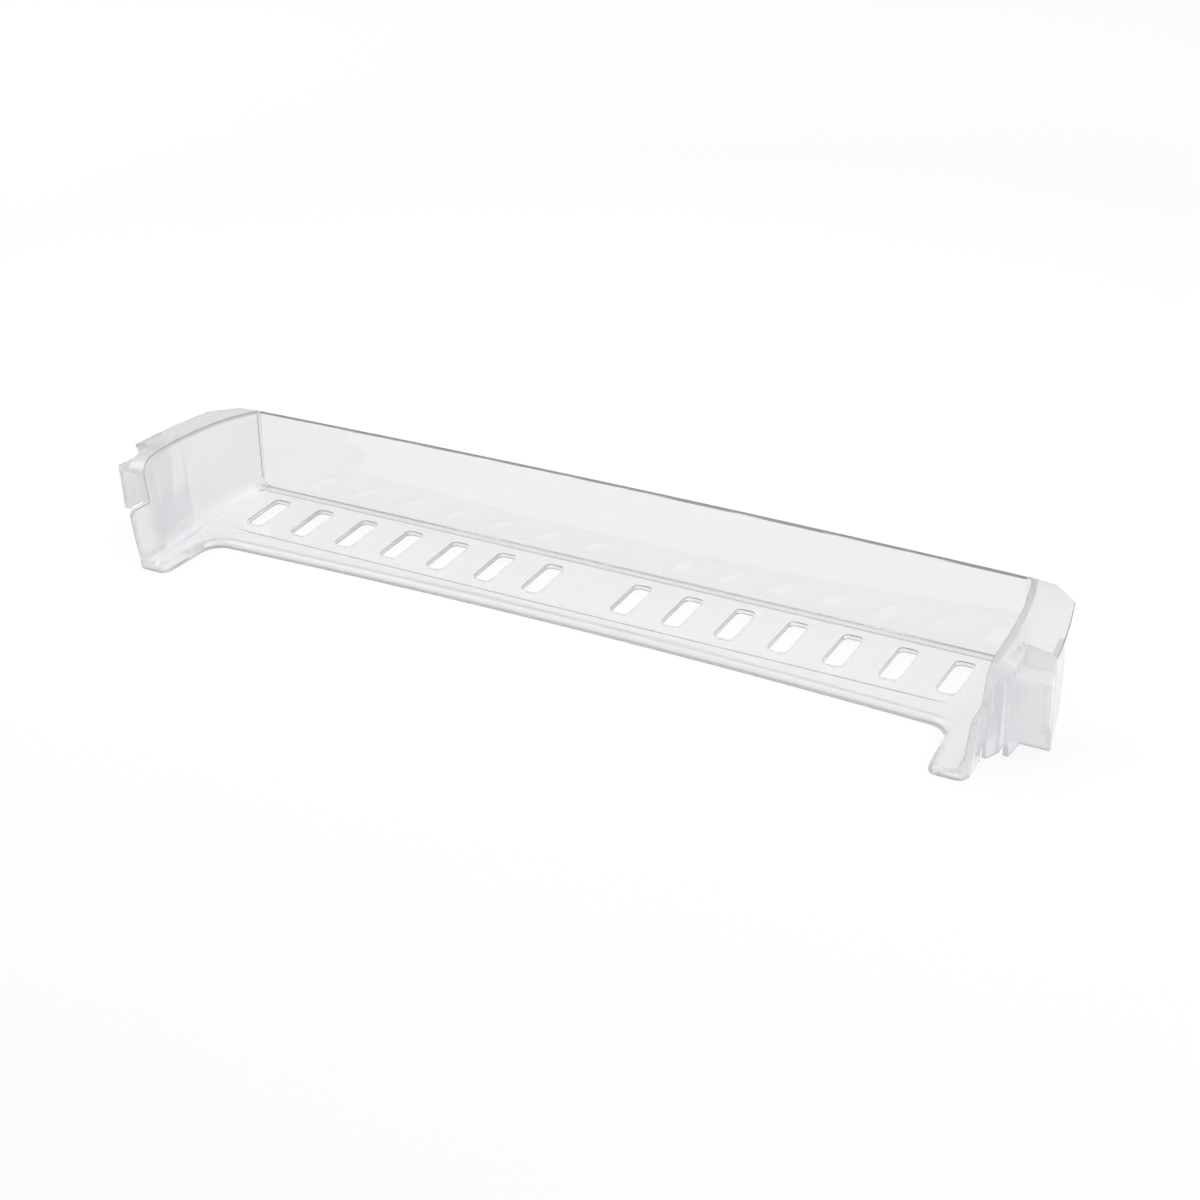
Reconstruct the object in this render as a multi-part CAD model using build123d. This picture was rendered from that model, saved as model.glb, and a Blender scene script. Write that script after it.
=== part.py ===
from build123d import *
from math import radians, tan
import os

# Clear door shelf of a refrigerator, one injection moulding.
# X runs along the shelf, +Y points away from the door towards the room, Z is up.
# Lengths in millimetres. Y is counted from the door-side face of the two feet,
# Z from the lower rim, until the finished part is centred on its origin.

# Wall sections of the moulding
WALL = 2.4
FLOOR = 2.6
RIM_DROP = 2.6
EDGE_ROUND = 0.8

# Tray, measured on its inner faces at the floor
FRONT_Y = 96.8
FRONT_HALF = 215.5
FRONT_RISE = 41.8
END_FLARE = 6.7
CREASE_Y = 16.1
FOOT_SPLAY = 1.0
END_BOW = 3.4
FRONT_BOW = 1.0
FRONT_BOW_PER_RISE = 0.065
FRONT_LEAN = 4.0
END_LEAN_FRONT = 1.2
END_LEAN_DOOR = 5.5
COVE_ROUND = 7.0

# Door-side edge of the floor: two feet with a bowed recess between them
FOOT_WIDTH = 15.7
FOOT_TAPER = 3.0
RECESS_Y = 36.0
RECESS_BOW = 5.5
FOOT_CORNER_ROUND = 5.5
RECESS_CORNER_ROUND = 11.0
FOOT_OUTER_ROUND = 5.0
LIP_WIDTH = 7.4
STEP_DROP = 0.7
STEP_END_GAP = 27.0
STEP_FADE = 12.0
STEP_RAMP = 5.0
LIP_ROUND = 4.2
FOOT_WALL_TOP = 30.0
FOOT_WALL_ROUND = 6.0

# Crowned end rim: rises over the front wall's top at the front, the crown and the door side,
# along the inner and the outer border of the flange
RIM_TUCK = 1.5
RIM_SPAN = 42.0
INNER_RISES = (-0.5, 6.4, 7.9)
OUTER_RISES = (-0.8, -0.9, 0.2)
CROWN_BACK = 32.7
CROWN_DOOR_RUN = 15.4
RIM_NOSE_ROUND = 9.0
STRAP_DROP = 21.0
STRAP_WIDTH = 7.0
TONGUE_DROP = 2.5
TONGUE_OVERHANG = 1.5
TONGUE_ROUND = 4.0
TONGUE_TIP_ROUND = 1.5

# Outer edge of the flange: steps in from the widest point and on from the web
FLANGE_OVERHANG = 0.8
FLANGE_SIDE = (2.8, 20.7)
FLANGE_SHOULDER = (8.8, 49.4)
FLANGE_FAR = (21.4, 62.1)
FLANGE_CORNER_ROUND = 2.5

# Hook pocket that drops over the boss on the door liner
PRONG_GAP = 13.3
POCKET_WIDTH = 13.1
WEB_RUN = 22.7
PRONG_REACH = 12.1
PRONG_LEAN = 1.5
HOOK_REACH = 12.4
HOOK_SPLAY = 3.2
HOOK_DROP = 6.0
HOOK_HEIGHT = 24.6
HOOK_BEAD = 1.3
HOOK_BEAD_DEPTH = 2.6
CEILING_DROP = 3.0
CHEEK_TAPER = 2.3
CHEEK_DEPTH = 20.0
CHEEK_BULGE = 3.6
CHEEK_LOW_Z = 8.0
CHEEK_LOW_DEPTH = 12.5

# Guide rib that stiffens the end wall beside the pocket
GUIDE_ROOT_OUT = 3.8
GUIDE_ROOT_RUN = 4.9
GUIDE_OUT = 7.2
GUIDE_RUN = 11.9
GUIDE_LENGTH = 20.5

# Drain slots in the floor, seven to each side of a plain middle field
SLOTS_PER_SIDE = 7
SLOT_FIRST = 25.0
SLOT_END_GAP = 22.5
SLOT_WIDTH = 10.4
SLOT_STEP_GAP = 7.7
SLOT_FRONT_GAP = 11.2
SLOT_ROUND = 3.2

# Dimensions that follow from the ones above
FLOOR_TOP = RIM_DROP + FLOOR
FRONT_TOP = FLOOR_TOP + FRONT_RISE
FRONT_TOP_Y = FRONT_Y + FRONT_RISE * tan(radians(FRONT_LEAN))
FRONT_TOP_HALF = FRONT_HALF + FRONT_RISE * tan(radians(END_LEAN_FRONT))
FRONT_SEAM = FRONT_HALF - EDGE_ROUND
CREASE_HALF = FRONT_HALF + END_FLARE
FOOT_INNER_HALF = CREASE_HALF - FOOT_WIDTH
RECESS_MID_Y = RECESS_Y + RECESS_BOW
STEP_Y = RECESS_MID_Y + LIP_WIDTH
RIM_IN_X = FRONT_HALF - RIM_TUCK
RIM_FRONT_Y = FRONT_TOP_Y + 1.5 * WALL
CROWN_Y = FRONT_Y - CROWN_BACK
CROWN_DOOR_Y = CREASE_Y + CROWN_DOOR_RUN
PRONG_HALF = CREASE_HALF + PRONG_GAP
HOOK_HALF = PRONG_HALF + POCKET_WIDTH
FLANGE_HALF = HOOK_HALF + FLANGE_OVERHANG
TONGUE_HALF = PRONG_HALF + TONGUE_OVERHANG
STRAP_HALF = CREASE_HALF + STRAP_WIDTH
WEB_Y = CREASE_Y + WEB_RUN
HOOK_TIP = (HOOK_HALF + HOOK_SPLAY, WEB_Y - HOOK_REACH)
PRONG_TIP = (PRONG_HALF - PRONG_LEAN, WEB_Y - PRONG_REACH)
HOOK_TOP = FRONT_TOP - HOOK_DROP
POCKET_CEILING = HOOK_TOP - CEILING_DROP
SLOT_PITCH = (FRONT_HALF - SLOT_END_GAP - SLOT_FIRST) / (SLOTS_PER_SIDE - 1)
SLOT_LENGTH = FRONT_Y - SLOT_FRONT_GAP - STEP_Y - SLOT_STEP_GAP
SLOT_CENTRE_Y = STEP_Y + SLOT_STEP_GAP + SLOT_LENGTH / 2
OVERALL_DEPTH = FRONT_TOP_Y + FRONT_BOW + FRONT_BOW_PER_RISE * FRONT_RISE + WALL
SKY = FRONT_TOP + 4 * WALL
REACH = HOOK_HALF + RIM_SPAN


def block(x0, x1, y0, y1, z0, z1):
    centre = Pos((x0 + x1) / 2, (y0 + y1) / 2, (z0 + z1) / 2)
    return centre * Box(x1 - x0, y1 - y0, z1 - z0)


def tray_plan(height, grow):
    """Plan of the tray walls at one height, grown outward by a wall thickness."""
    rise = height - FLOOR_TOP
    crease_x = CREASE_HALF + rise * tan(radians(END_LEAN_DOOR)) + grow
    corner_x = FRONT_HALF + rise * tan(radians(END_LEAN_FRONT)) + grow
    corner_y = FRONT_Y + rise * tan(radians(FRONT_LEAN)) + grow
    bow = FRONT_BOW + FRONT_BOW_PER_RISE * rise
    foot = Vector(crease_x + FOOT_SPLAY, 0 if grow else -WALL)
    crease = Vector(crease_x, CREASE_Y)
    corner = Vector(corner_x, corner_y)
    run = (corner - crease).normalized()
    belly = (crease + corner) * 0.5 + Vector(run.Y, -run.X) * END_BOW

    def other(point):
        return Vector(-point.X, point.Y)

    edges = [
        Line(foot, crease),
        ThreePointArc(crease, belly, corner),
        ThreePointArc(corner, (0, corner_y + bow), other(corner)),
        ThreePointArc(other(corner), other(belly), other(crease)),
        Line(other(crease), other(foot)),
        Line(other(foot), foot),
    ]
    plan = make_face(Curve() + edges)
    if grow:
        plan = fillet([v for v in plan.vertices() if abs(v.Y) < CREASE_Y / 2], FOOT_OUTER_ROUND)
    return Pos(0, 0, height) * plan


def tray_volume(bottom, top, grow):
    """Leaning block of the tray between two heights."""
    return loft([tray_plan(bottom, grow), tray_plan(top, grow)], ruled=True)


def tray_body():
    """Outer block of the tray, its ends rounded below to follow the cove inside."""
    body = tray_volume(0, SKY, WALL)
    cove_x = FRONT_HALF - COVE_ROUND - WALL
    notch = block(cove_x, REACH, CREASE_Y + WALL, FRONT_Y - WALL, -WALL, RIM_DROP)
    body -= [notch, mirror(notch, about=Plane.YZ)]
    low = [e for e in body.edges() if abs(e.center().Z - RIM_DROP) < 0.01]
    return fillet([e for e in low if abs(e.center().X) > FRONT_HALF], COVE_ROUND + WALL)


def door_side_field(inset):
    """Everything on the room side of the floor's door-side edge, less an inset."""
    knee = FOOT_INNER_HALF - FOOT_TAPER
    line = [
        Line((REACH, OVERALL_DEPTH + REACH), (REACH, 0)),
        Line((REACH, 0), (FOOT_INNER_HALF, 0)),
        Line((FOOT_INNER_HALF, 0), (knee, RECESS_Y)),
        ThreePointArc((knee, RECESS_Y), (0, RECESS_MID_Y), (-knee, RECESS_Y)),
        Line((-knee, RECESS_Y), (-FOOT_INNER_HALF, 0)),
        Line((-FOOT_INNER_HALF, 0), (-REACH, 0)),
        Line((-REACH, 0), (-REACH, OVERALL_DEPTH + REACH)),
        Line((-REACH, OVERALL_DEPTH + REACH), (REACH, OVERALL_DEPTH + REACH)),
    ]
    field = make_face(Curve() + line)
    tips = [v for v in field.vertices() if abs(v.Y) < 1 and abs(v.X) < FOOT_INNER_HALF + 1]
    field = fillet(tips, FOOT_CORNER_ROUND)
    knees = [v for v in field.vertices() if abs(v.Y - RECESS_Y) < 1 and abs(v.X) < REACH - 1]
    field = fillet(knees, RECESS_CORNER_ROUND)
    if inset:
        field = offset(field, -inset)
    return field


def rounded_pan(inset, height, lip):
    """Floor block, stepped down along the door side and rolled over at its edge."""
    step = block(-REACH, REACH, -REACH, STEP_Y - inset, height - STEP_DROP, SKY)
    pan = extrude(door_side_field(inset), height) - step
    low_edges = [e for e in pan.edges() if abs(e.center().Z - height + STEP_DROP) < 0.01]
    lip_edges = [e for e in low_edges if e.center().Y < RECESS_MID_Y + 2 * inset]
    lip_edges = [e for e in lip_edges if abs(e.center().X) < REACH - 2 * WALL]
    return fillet(lip_edges, lip)


def step_run_out():
    """Wedge that lets the step fade into the foot at the right-hand end."""
    start = Vector(FRONT_HALF - STEP_END_GAP, STEP_Y, FLOOR_TOP - STEP_DROP)
    along = Vector(STEP_FADE, 0, STEP_DROP)
    across = Vector(STEP_FADE, -STEP_RAMP, 0)
    slope = Plane(start, along, across.cross(along))
    fill = block(start.X, REACH, 0, STEP_Y, start.Z, FLOOR_TOP)
    return fill & (slope * Pos(0, 0, -REACH) * Box(4 * REACH, 4 * REACH, 2 * REACH))


def make_floor():
    """Floor block with the lip rolled down along the door side."""
    fade = step_run_out()
    pan = rounded_pan(0, FLOOR_TOP, LIP_ROUND) + fade + mirror(fade, about=Plane.YZ)
    return pan & tray_body()


def floor_hollow():
    """Space below the floor plate, inside the lower rim and the lip."""
    return rounded_pan(WALL, RIM_DROP, LIP_ROUND - WALL) & tray_volume(0, RIM_DROP, 0)


def drain_slots():
    """Cutters for the rows of drain slots."""
    plan = RectangleRounded(SLOT_WIDTH, SLOT_LENGTH, SLOT_ROUND)
    cutter = extrude(Pos(0, 0, RIM_DROP - WALL) * plan, FLOOR + 2 * WALL)
    places = []
    for number in range(SLOTS_PER_SIDE):
        for side in (-1, 1):
            places.append(Pos(side * (SLOT_FIRST + number * SLOT_PITCH), SLOT_CENTRE_Y, 0))
    return [place * cutter for place in places]


def rim_section(rises):
    """Region below the crowned rim line of one end, seen along X."""
    front, crown, door = [FRONT_TOP + rise for rise in rises]
    line = [
        Line((OVERALL_DEPTH + REACH, -WALL), (OVERALL_DEPTH + REACH, front)),
        Line((OVERALL_DEPTH + REACH, front), (RIM_FRONT_Y, front)),
        ThreePointArc((RIM_FRONT_Y, front), (CROWN_Y, crown), (CROWN_DOOR_Y, door)),
        Line((CROWN_DOOR_Y, door), (CREASE_Y, door - WALL / 2)),
        Line((CREASE_Y, door - WALL / 2), (CREASE_Y, -WALL)),
        Line((CREASE_Y, -WALL), (OVERALL_DEPTH + REACH, -WALL)),
    ]
    region = make_face(Curve() + line)
    nose = [v for v in region.vertices() if abs(v.X - CREASE_Y) < 1 and v.Y > FLOOR_TOP]
    return fillet(nose, RIM_NOSE_ROUND)


def rim_volume():
    """Space under the crowned, outward sloping rim of the right-hand end."""
    inner = Plane((RIM_IN_X, 0, 0), (0, 1, 0), (1, 0, 0))
    outer = Plane((RIM_IN_X + RIM_SPAN, 0, 0), (0, 1, 0), (1, 0, 0))
    return loft([inner * rim_section(INNER_RISES), outer * rim_section(OUTER_RISES)], ruled=True)


def flange_plan():
    """Flange of the right-hand end with its tongue towards the door."""
    steps = [(0, 0), FLANGE_SIDE, FLANGE_SHOULDER, FLANGE_FAR]
    points = [(FLANGE_HALF - step_in, WEB_Y + step_on) for step_in, step_on in steps]
    far_edge = Polyline(
        points[-2],
        points[-1],
        (FRONT_TOP_HALF, FRONT_TOP_Y + WALL),
        (FRONT_HALF - WALL, FRONT_TOP_Y + WALL),
        (FRONT_HALF - WALL, CREASE_Y),
        (TONGUE_HALF, CREASE_Y),
        (TONGUE_HALF, WEB_Y),
        (FLANGE_HALF, WEB_Y),
    )
    plan = make_face(Curve() + [Spline(*points[:-1]), far_edge])

    def corner(x, y):
        return [v for v in plan.vertices() if abs(v.X - x) < 0.1 and abs(v.Y - y) < 0.1]

    plan = fillet(corner(TONGUE_HALF, CREASE_Y), TONGUE_TIP_ROUND)
    plan = fillet(corner(TONGUE_HALF, WEB_Y), TONGUE_ROUND)
    plan = fillet(corner(*points[-2]), FLANGE_CORNER_ROUND)
    return fillet(corner(*points[-1]), FLANGE_CORNER_ROUND)


def upright(start, end, outline, thickness):
    """Upright plate along a line of the plan, its outline given along it and up."""
    run = Vector(end[0] - start[0], end[1] - start[1]).normalized()
    plane = Plane((start[0], start[1], 0), (run.X, run.Y, 0), (run.Y, -run.X, 0))
    return extrude(plane * outline, thickness)


def span(start, end):
    return Vector(end[0] - start[0], end[1] - start[1]).length


def cheek_outline(length):
    """Rounded outline of the plate that stiffens the flange behind the pocket."""
    top = (length - CHEEK_BULGE, FRONT_TOP)
    low = (CHEEK_LOW_DEPTH, CHEEK_LOW_Z)
    edges = [
        Line((0, 0), (0, SKY)),
        Line((0, SKY), (top[0], SKY)),
        Line((top[0], SKY), top),
        ThreePointArc(top, (length, FRONT_TOP / 2), low),
        Line(low, (0, 0)),
    ]
    return make_face(Curve() + edges)


def hook_plates():
    """Web, prong, hook wall, cheek and ceiling round the pocket of one end."""
    web_line = ((PRONG_HALF - WALL / 2, WEB_Y), (HOOK_HALF, WEB_Y))
    web_run = span(*web_line)
    web = upright(*web_line, Pos(web_run / 2, SKY / 2) * Rectangle(web_run, SKY), -WALL)

    prong_line = ((PRONG_HALF, WEB_Y + WALL), PRONG_TIP)
    prong_run = span(*prong_line)
    prong = upright(*prong_line, Pos(prong_run / 2, SKY / 2) * Rectangle(prong_run, SKY), WALL)

    hook_line = ((HOOK_HALF, WEB_Y + WALL / 2), HOOK_TIP)
    hook_run = span(*hook_line)
    hook_middle = HOOK_TOP - HOOK_HEIGHT / 2
    hook = upright(*hook_line, Pos(hook_run / 2, hook_middle) * Rectangle(hook_run, HOOK_HEIGHT), WALL)
    bead_run = hook_run - HOOK_BEAD_DEPTH / 2
    bead_face = Pos(bead_run, hook_middle) * Rectangle(HOOK_BEAD_DEPTH, HOOK_HEIGHT)
    bead = upright(*hook_line, bead_face, WALL + HOOK_BEAD)

    guide_root = (CREASE_HALF + GUIDE_ROOT_OUT, CREASE_Y + GUIDE_ROOT_RUN)
    guide_knee = (CREASE_HALF + GUIDE_OUT, CREASE_Y + GUIDE_RUN)
    guide_end = (guide_knee[0], guide_knee[1] + GUIDE_LENGTH)
    guide_lines = [(guide_end, guide_knee), (guide_knee, guide_root)]
    guides = []
    for guide_line in guide_lines:
        run = span(*guide_line)
        guides.append(upright(*guide_line, Pos(run / 2, SKY / 2) * Rectangle(run, SKY), WALL))
    guide = guides[0] + guides[1]

    cheek_line = ((HOOK_HALF, WEB_Y + WALL / 2), (HOOK_HALF - CHEEK_TAPER, WEB_Y + CHEEK_DEPTH))
    cheek = upright(*cheek_line, cheek_outline(span(*cheek_line)), -WALL)

    ceiling_line = Polyline(
        (PRONG_HALF - WALL, WEB_Y + WALL),
        (HOOK_HALF - WALL / 2, WEB_Y + WALL),
        (HOOK_TIP[0] - WALL / 2, HOOK_TIP[1]),
        (PRONG_TIP[0] - WALL, HOOK_TIP[1]),
        close=True,
    )
    ceiling = extrude(Pos(0, 0, POCKET_CEILING) * make_face(ceiling_line), WALL)
    return web + prong + hook + bead + guide + cheek + ceiling


def make_end(cavity):
    """Everything that stands at the right-hand end outside the tray's inside."""
    below_rim = rim_volume()
    rim_skin = below_rim - Pos(0, WALL, -WALL) * below_rim
    plan = flange_plan()
    flange = rim_skin & extrude(plan, SKY)
    free = [e for e in plan.edges() if e.center().X > FRONT_TOP_HALF and e.center().Y > WEB_Y + WALL]

    def on_free_side(edge):
        middle = edge @ 0.5
        flat = Vertex(middle.X, middle.Y, 0)
        return min(flat.distance_to(e) for e in free) < 0.01 and abs((edge % 0.5).Z) < 0.5

    flange = fillet([e for e in flange.edges() if on_free_side(e)], EDGE_ROUND)
    nose_y = CREASE_Y + RIM_NOSE_ROUND
    flange -= block(FRONT_HALF, REACH, 0, nose_y, 0, FRONT_TOP - TONGUE_DROP)
    strap = rim_skin & block(FRONT_HALF, STRAP_HALF, 0, nose_y, FRONT_TOP - STRAP_DROP, SKY)
    plates = hook_plates() & (Pos(0, 0, -WALL / 2) * below_rim)
    return (flange + strap + plates) - cavity


def make_walls(cavity):
    """Front wall and end walls, trimmed to the rim line."""
    shell = tray_body() - cavity
    front = shell & block(-FRONT_SEAM, FRONT_SEAM, STEP_Y + COVE_ROUND, REACH, 0, FRONT_TOP)
    top_edges = [e for e in front.edges().group_by(Axis.Z)[-1] if e.length > FRONT_HALF]
    front = fillet(top_edges, EDGE_ROUND)
    right = shell & (rim_volume() & block(FRONT_SEAM, REACH, 0, REACH, FOOT_WALL_TOP / 2, SKY))
    side_face = Pos(REACH / 2, FOOT_WALL_TOP / 2) * Rectangle(REACH, FOOT_WALL_TOP)
    tip = [v for v in side_face.vertices() if v.X < 1 and v.Y > 1]
    side_plane = Plane((FRONT_SEAM, 0, 0), (0, 1, 0), (1, 0, 0))
    foot = shell & extrude(side_plane * fillet(tip, FOOT_WALL_ROUND), REACH - FRONT_SEAM)
    right = right + foot
    return front + right + mirror(right, about=Plane.YZ)


def make_cavity():
    """Inside of the tray, with a cove along the end walls."""
    cavity = tray_volume(FLOOR_TOP, SKY + WALL, 0)
    low = cavity.edges().group_by(Axis.Z)[0]
    ends = [e for e in low if abs(e.center().X) > FRONT_HALF]
    return fillet(ends, COVE_ROUND)


def door_shelf():
    cavity = make_cavity()
    end = make_end(cavity)
    shelf = make_floor() + make_walls(cavity) + end + mirror(end, about=Plane.YZ)
    shelf -= [floor_hollow()] + drain_slots()
    return Pos(0, -shelf.bounding_box().center().Y, 0) * shelf


os.makedirs("parts", exist_ok=True)
export_step(door_shelf(), "parts/door_shelf.step")
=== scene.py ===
from math import cos, radians, sin

import bmesh
import bpy
from mathutils import Matrix, Vector


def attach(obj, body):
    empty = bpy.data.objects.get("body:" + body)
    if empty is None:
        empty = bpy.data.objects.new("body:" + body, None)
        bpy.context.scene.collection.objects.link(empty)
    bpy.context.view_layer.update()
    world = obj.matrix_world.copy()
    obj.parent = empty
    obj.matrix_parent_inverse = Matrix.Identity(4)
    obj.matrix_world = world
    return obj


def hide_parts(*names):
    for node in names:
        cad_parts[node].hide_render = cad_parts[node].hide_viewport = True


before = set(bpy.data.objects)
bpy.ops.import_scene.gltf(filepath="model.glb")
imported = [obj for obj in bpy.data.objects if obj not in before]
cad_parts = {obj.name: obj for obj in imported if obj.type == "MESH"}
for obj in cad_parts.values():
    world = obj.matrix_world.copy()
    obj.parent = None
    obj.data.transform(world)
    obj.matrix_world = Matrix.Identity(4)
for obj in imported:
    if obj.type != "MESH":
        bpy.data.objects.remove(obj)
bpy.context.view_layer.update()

# Camera, solved from the photo: place in metres, aim in degrees, lens in millimetres
CAMERA_PLACE = Vector((0.49015, -0.81575, 0.54672))
CAMERA_AZIMUTH = 30.06
CAMERA_ELEVATION = 29.55
CAMERA_ROLL = -2.34
CAMERA_LENS = 67.48
CAMERA_SENSOR = 36.0
CAMERA_NEAR = 0.01

# Clear plastic: name, tint, transmission and roughness of each material slot; the second slot's dark tint is
# painted edge shade, the third is milkier with a greyer tint of painted shade
CLEAR, PAINTED_SHADE_EDGE, HAZY_PAINTED_SHADE = range(3)
PLASTICS = (
    ("clear_plastic", (0.915, 0.917, 0.923), 0.8, 0.04),
    ("clear_plastic_painted_shade_edge", (0.27, 0.27, 0.3), 0.4, 0.1),
    ("clear_plastic_hazy_painted_shade", (0.86, 0.864, 0.874), 0.61, 0.1),
)
PLASTIC_IOR = 1.49
COAT = 0.4
SHADOW_TINT = (0.97, 0.975, 0.98)
WAVE_SCALE = 28.0
WAVE_DETAIL = 2.0
WAVE_STRENGTH = 0.05
WAVE_HEIGHT = 0.0006

# Where the moulding's painted dark edge lines and its milky parts with painted grey shade lie, in metres
STANDS_BELOW = 0.0006
FRONT_TOP = 0.0459
FRONT_BAND = 0.037
FLANGE_ABOVE = 0.036
FLANGE_OUT = 0.2305
FLANGE_FAR = 0.0445
FLANGE_NEAR = -0.0165
FLOOR_ABOVE = 0.0053
LIP_EDGE = -0.00426
EDGE_HEIGHT = 0.0028
RIM_BAND = (0.2135, 0.233)
RIM_ABOVE = 0.0106
RIM_ROUND = 0.00025
SLOT_REACH = 0.2
SLOT_ROW = (0.003, 0.034)
SLOT_LOW, SLOT_HIGH = 0.0026, 0.0052
SLOT_SHADE_BAND = 0.0004

# A small block that the CAD leaves on each foot, pushed flush here, in metres
NIB_FROM, NIB_TO = 0.214, 0.2147
NIB_REACH = (-0.037, -0.034)
NIB_SLACK = 2e-5

# Distances that count as none, in metres
SAME_PLACE = 2e-6
ON_PLANE = 1e-6

# How far a unit normal, or an edge, leans along an axis
SLOT_SIDE_LEAN = 0.1
EDGE_LEAN = 0.85
SLIGHT_LEAN = 0.3
OUTWARD_LEAN = 0.1
FRONT_TOP_LEAN = 0.4
INNER_WALL_LEAN = 0.7
RIM_TOP_LEAN = 0.5
RIM_NOSE_LEAN = 0.6
FRONT_WALL_LEAN = 0.9
UPRIGHT_LEAN = 0.9
NORMAL_LOST = 0.5

# Studio: sizes in metres
FLOOR_HALF = 2.2
FLOOR_GAP = 0.0005
FLOOR_GREY = 0.9
FLOOR_ROUGHNESS = 0.9
FLOOR_FADE = (0.7, 2.0)
FLOOR_GLOW = 0.35
WORLD_LIGHT = 0.4
WORLD_SEEN = 1.0


def node(tree, kind, **values):
    """New shader node, its inputs set by name with underscores for spaces."""
    made = tree.nodes.new(kind)
    for name, value in values.items():
        made.inputs[name.replace("_", " ")].default_value = value
    return made


def combined(tree, operation, first, second):
    """Output of a maths node that takes two other outputs."""
    made = tree.nodes.new("ShaderNodeMath")
    made.operation = operation
    tree.links.new(first, made.inputs[0])
    tree.links.new(second, made.inputs[1])
    return made.outputs["Value"]


def clear_plastic(name, tint, transmission, roughness):
    """Polished clear moulding with faint flow waves, which lets the lamps' light through; copies with a darker
    tint carry painted shade.
    """
    material = bpy.data.materials.new(name)
    material.use_nodes = True
    tree = material.node_tree
    tree.nodes.clear()
    link = tree.links.new
    place = tree.nodes.new("ShaderNodeTexCoord")
    waves = node(tree, "ShaderNodeTexNoise", Scale=WAVE_SCALE, Detail=WAVE_DETAIL)
    link(place.outputs["Object"], waves.inputs["Vector"])
    gloss = node(tree, "ShaderNodeMapRange", To_Min=roughness / 2, To_Max=roughness)
    link(waves.outputs["Fac"], gloss.inputs["Value"])
    bump = node(tree, "ShaderNodeBump", Strength=WAVE_STRENGTH, Distance=WAVE_HEIGHT)
    link(waves.outputs["Fac"], bump.inputs["Height"])
    body = node(
        tree,
        "ShaderNodeBsdfPrincipled",
        Base_Color=(*tint, 1),
        IOR=PLASTIC_IOR,
        Transmission_Weight=transmission,
        Coat_Weight=COAT,
        Coat_Roughness=roughness / 2,
    )
    link(gloss.outputs["Result"], body.inputs["Roughness"])
    link(bump.outputs["Normal"], body.inputs["Normal"])
    link(bump.outputs["Normal"], body.inputs["Coat Normal"])
    path = tree.nodes.new("ShaderNodeLightPath")
    passing = combined(tree, "MAXIMUM", path.outputs["Is Shadow Ray"], path.outputs["Is Diffuse Ray"])
    clear = node(tree, "ShaderNodeBsdfTransparent", Color=(*SHADOW_TINT, 1))
    lit = tree.nodes.new("ShaderNodeMixShader")
    link(passing, lit.inputs["Fac"])
    link(body.outputs["BSDF"], lit.inputs[1])
    link(clear.outputs["BSDF"], lit.inputs[2])
    out = tree.nodes.new("ShaderNodeOutputMaterial")
    link(lit.outputs["Shader"], out.inputs["Surface"])
    return material


def is_slot_side(face):
    """True on the upright sides of the slots in the floor."""
    middle = face.calc_center_median()
    inside = abs(middle.x) < SLOT_REACH and SLOT_ROW[0] < middle.y < SLOT_ROW[1]
    return inside and abs(face.normal.z) < SLOT_SIDE_LEAN and SLOT_LOW < middle.z < SLOT_HIGH


def is_slot_shade_band(face):
    """True next to the upper and lower edges of the slots, where dark shade lines are painted."""
    middle = face.calc_center_median()
    return is_slot_side(face) and not SLOT_LOW + SLOT_SHADE_BAND < middle.z < SLOT_HIGH - SLOT_SHADE_BAND


def is_painted_shade_edge(face):
    """True on the narrow faces round the moulding that get dark painted shade lines: its feet, front top,
    flange sides and slots.
    """
    middle = face.calc_center_median()
    heights = [vert.co.z for vert in face.verts]
    low, high = min(heights), max(heights)
    out = abs(middle.x)
    normal = face.normal
    upright = abs(normal.z) < EDGE_LEAN and high - low < EDGE_HEIGHT
    sideways = normal.x * middle.x > OUTWARD_LEAN * out and normal.y > -SLIGHT_LEAN
    outward = normal.y > SLIGHT_LEAN or sideways
    stands = high < STANDS_BELOW and normal.z < SLIGHT_LEAN
    front_top = low > FRONT_TOP and normal.z > FRONT_TOP_LEAN
    front_top = front_top and out < RIM_BAND[0] and middle.y > FRONT_BAND
    flange = upright and outward and low > FLANGE_ABOVE and middle.y > FLANGE_NEAR
    flange = flange and (out > FLANGE_OUT or (out > RIM_BAND[0] and middle.y > FLANGE_FAR))
    return stands or front_top or flange or is_slot_shade_band(face)


def is_hazy_painted_shade(face):
    """True on the lip, the feet and the ends, which look milky and get a greyer tint of painted shade."""
    middle = face.calc_center_median()
    lip = middle.y < LIP_EDGE and middle.z < FLOOR_ABOVE and face.normal.z > -SLIGHT_LEAN
    return lip or abs(middle.x) > RIM_BAND[0]


def is_rim_edge(edge):
    """True along the inner edge of an end wall's rim, down its nose, and on its corner with the front wall,
    where a bevel painted with dark shade goes.
    """
    first, second = (vert.co for vert in edge.verts)
    middle = (first + second) / 2
    if len(edge.link_faces) != 2 or not RIM_BAND[0] < abs(middle.x) < RIM_BAND[1]:
        return False
    side = 1 if middle.x > 0 else -1
    faces = [(face, face.normal) for face in edge.link_faces]
    inner = [face for face, normal in faces if normal.x * side < -INNER_WALL_LEAN]
    rim = [face for face, normal in faces if normal.z > RIM_TOP_LEAN or normal.y < -RIM_NOSE_LEAN]
    front = [face for face, normal in faces if normal.y < -FRONT_WALL_LEAN]
    upright = abs(first.z - second.z) > UPRIGHT_LEAN * edge.calc_length()
    if middle.y > FRONT_BAND and len(inner) == 1 and len(front) == 1 and upright:
        return inner[0] != front[0]
    return middle.z > RIM_ABOVE and len(inner) == 1 and len(rim) == 1 and inner[0] != rim[0]


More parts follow.
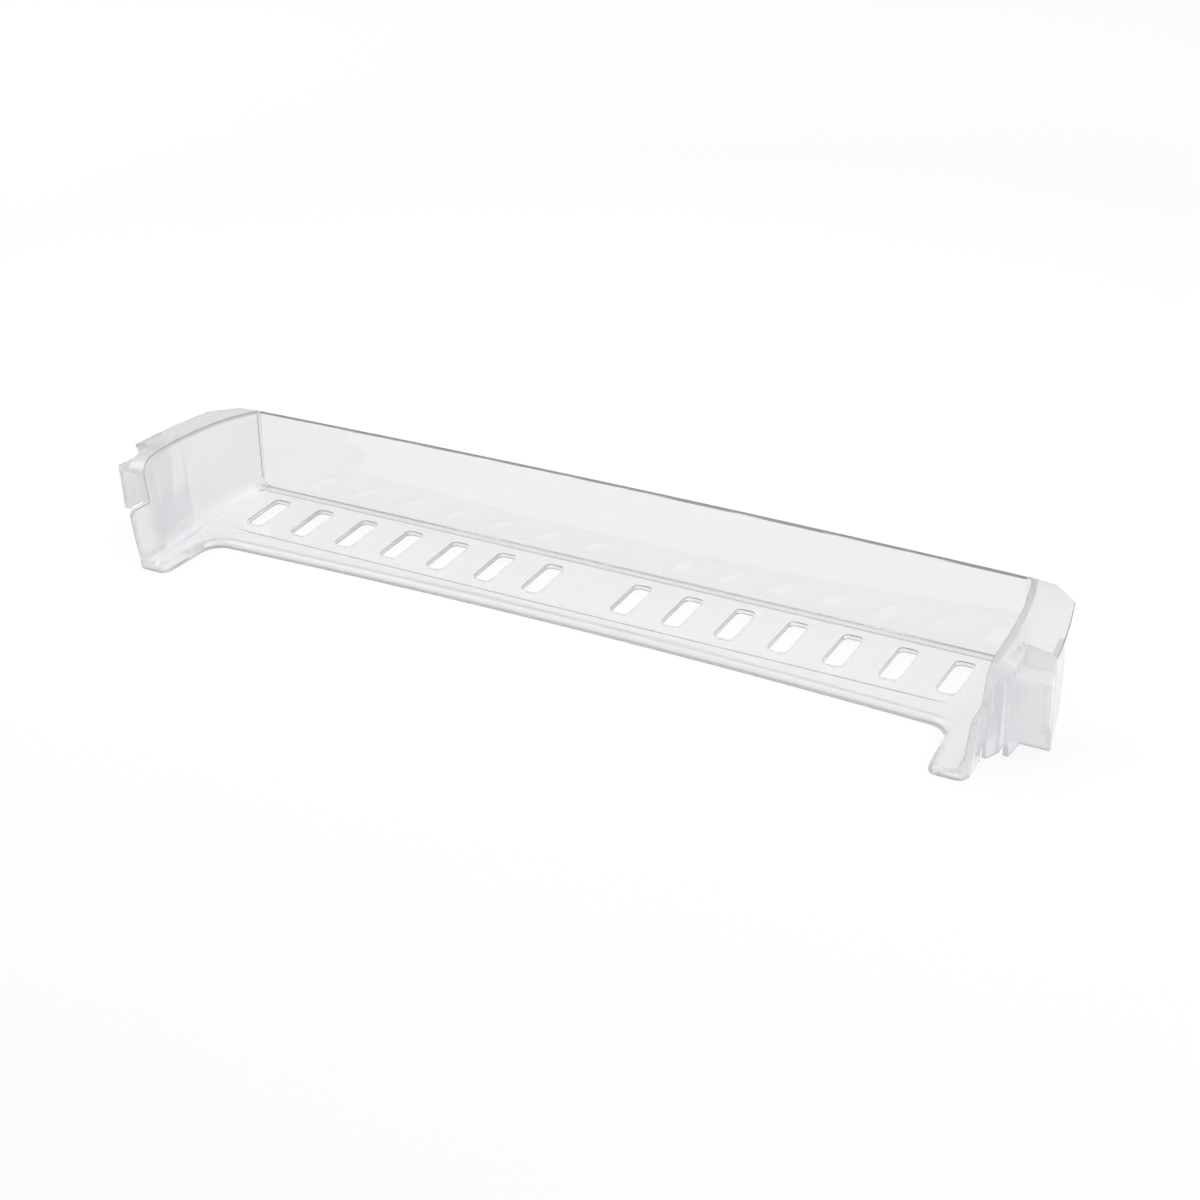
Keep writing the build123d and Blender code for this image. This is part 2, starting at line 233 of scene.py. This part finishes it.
def push_nibs_flush(form):
    """Close up the small block that the CAD leaves on each foot."""
    for vert in form.verts:
        out = abs(vert.co.x)
        beside = abs(out - NIB_FROM) < NIB_SLACK and NIB_REACH[0] < vert.co.y < NIB_REACH[1]
        if beside and vert.co.z < FLOOR_ABOVE:
            vert.co.x *= NIB_TO / out


def cut_slot_shade_bands(form):
    """Cut the slot sides just inside their upper and lower edges, for painted dark shade lines."""
    for height in (SLOT_LOW + SLOT_SHADE_BAND, SLOT_HIGH - SLOT_SHADE_BAND):
        sides = [face for face in form.faces if is_slot_side(face)]
        edges = dict.fromkeys(edge for face in sides for edge in face.edges)
        verts = dict.fromkeys(vert for face in sides for vert in face.verts)
        bmesh.ops.bisect_plane(
            form, geom=[*verts, *edges, *sides], dist=ON_PLANE, plane_co=(0, 0, height), plane_no=(0, 0, 1)
        )


def moulding(source):
    """Copy of the CAD node with joined facets, its own surface normals and a material slot per plastic, two of
    them painted with shade.
    """
    mesh = source.data.copy()
    mesh.name = "clear_moulding"
    mesh.materials.clear()
    for plastic in PLASTICS:
        mesh.materials.append(clear_plastic(*plastic))
    kept = mesh.attributes.new("cad_normal", "FLOAT_VECTOR", "CORNER")
    for corner, normal in zip(kept.data, mesh.corner_normals):
        corner.vector = normal.vector
    form = bmesh.new()
    form.from_mesh(mesh)
    push_nibs_flush(form)
    bmesh.ops.remove_doubles(form, verts=form.verts, dist=SAME_PLACE)
    for face in form.faces:
        face.smooth = True
        face.material_index = CLEAR
    # The rim's inner edges get a small bevel in the dark copy, painted shade lines
    rim = [edge for edge in form.edges if is_rim_edge(edge)]
    bmesh.ops.bevel(form, geom=rim, offset=RIM_ROUND, segments=2, profile=0.5, affect="EDGES", material=PAINTED_SHADE_EDGE)
    cut_slot_shade_bands(form)
    layer = form.loops.layers.float_vector["cad_normal"]
    for face in form.faces:
        for loop in face.loops:
            if face.material_index == PAINTED_SHADE_EDGE or loop[layer].length < NORMAL_LOST:
                loop[layer] = face.normal
        # Painted shade: narrow edge faces take the dark plastic copy; the lip, feet and ends take the milkier,
        # greyer copy
        if is_painted_shade_edge(face):
            face.material_index = PAINTED_SHADE_EDGE
        elif face.material_index == CLEAR and is_hazy_painted_shade(face):
            face.material_index = HAZY_PAINTED_SHADE
    form.to_mesh(mesh)
    form.free()
    normals = [corner.vector.normalized() for corner in mesh.attributes["cad_normal"].data]
    mesh.normals_split_custom_set(normals)
    mesh.attributes.remove(mesh.attributes["cad_normal"])
    made = bpy.data.objects.new("clear_moulding", mesh)
    bpy.context.scene.collection.objects.link(made)
    return made


shelf = moulding(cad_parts["door_shelf"])
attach(shelf, "root")
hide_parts("door_shelf")


def floor_material():
    """Pale grey that the camera sees fade to white far from the shelf."""
    material = bpy.data.materials.new("floor")
    material.use_nodes = True
    tree = material.node_tree
    body = tree.nodes["Principled BSDF"]
    body.inputs["Base Color"].default_value = (FLOOR_GREY, FLOOR_GREY, FLOOR_GREY, 1)
    body.inputs["Roughness"].default_value = FLOOR_ROUGHNESS
    body.inputs["Emission Color"].default_value = (1, 1, 1, 1)
    place = tree.nodes.new("ShaderNodeTexCoord")
    away = tree.nodes.new("ShaderNodeVectorMath")
    away.operation = "LENGTH"
    tree.links.new(place.outputs["Object"], away.inputs[0])
    fade = node(tree, "ShaderNodeMapRange", From_Min=FLOOR_FADE[0], From_Max=FLOOR_FADE[1], To_Max=FLOOR_GLOW)
    tree.links.new(away.outputs["Value"], fade.inputs["Value"])
    path = tree.nodes.new("ShaderNodeLightPath")
    seen = combined(tree, "MULTIPLY", fade.outputs["Result"], path.outputs["Is Camera Ray"])
    tree.links.new(seen, body.inputs["Emission Strength"])
    return material


def plain_floor():
    """Pale floor, wide enough to fill the picture."""
    mesh = bpy.data.meshes.new("floor")
    corners = [(x * FLOOR_HALF, y * FLOOR_HALF, 0) for x, y in ((-1, -1), (1, -1), (1, 1), (-1, 1))]
    mesh.from_pydata(corners, [], [(0, 1, 2, 3)])
    mesh.materials.append(floor_material())
    made = bpy.data.objects.new("floor", mesh)
    bpy.context.scene.collection.objects.link(made)
    made.location.z = -FLOOR_GAP
    return made


plain_floor()


def area_light(name, place, target, size, watts, glare=True):
    """Softbox aimed at a target; without glare it isn't mirrored in the plastic."""
    data = bpy.data.lights.new(name, "AREA")
    data.shape = "RECTANGLE"
    data.size, data.size_y = size
    data.energy = watts
    made = bpy.data.objects.new(name, data)
    bpy.context.scene.collection.objects.link(made)
    made.location = place
    made.rotation_euler = (Vector(target) - Vector(place)).to_track_quat("-Z", "Y").to_euler()
    made.visible_glossy = glare


area_light("softbox_above", (0.0, 0.5, 1.8), (0, 0, 0), size=(2.4, 1.6), watts=27, glare=False)
area_light("softbox_left", (-1.5, -0.6, 1.2), (0, 0, 0), size=(1.2, 1.2), watts=8)
area_light("softbox_right", (1.6, -0.9, 1.0), (0.2, 0, 0), size=(1.2, 1.2), watts=9)


def studio_world():
    """Soft white light all round, which the camera sees as plain white."""
    world = bpy.data.worlds.new("studio")
    world.use_nodes = True
    tree = world.node_tree
    background = tree.nodes["Background"]
    background.inputs["Color"].default_value = (1, 1, 1, 1)
    path = tree.nodes.new("ShaderNodeLightPath")
    seen = node(tree, "ShaderNodeMapRange", To_Min=WORLD_LIGHT, To_Max=WORLD_SEEN)
    tree.links.new(path.outputs["Is Camera Ray"], seen.inputs["Value"])
    tree.links.new(seen.outputs["Result"], background.inputs["Strength"])
    bpy.context.scene.world = world


studio_world()


def photo_camera():
    """Camera at the photo's place, turned to its aim and roll."""
    azimuth, elevation, roll = radians(CAMERA_AZIMUTH), radians(CAMERA_ELEVATION), radians(CAMERA_ROLL)
    look = Vector((-sin(azimuth) * cos(elevation), cos(azimuth) * cos(elevation), -sin(elevation)))
    right = look.cross(Vector((0, 0, 1))).normalized()
    up = right.cross(look)
    turned_right = right * cos(roll) + up * sin(roll)
    turned_up = up * cos(roll) - right * sin(roll)
    data = bpy.data.cameras.new("camera")
    data.sensor_width = CAMERA_SENSOR
    data.lens = CAMERA_LENS
    data.clip_start = CAMERA_NEAR
    made = bpy.data.objects.new("camera", data)
    bpy.context.scene.collection.objects.link(made)
    turn = Matrix((turned_right, turned_up, -look)).transposed()
    made.matrix_world = Matrix.Translation(CAMERA_PLACE) @ turn.to_4x4()
    bpy.context.scene.camera = made


photo_camera()
bpy.context.scene.view_settings.view_transform = "Standard"
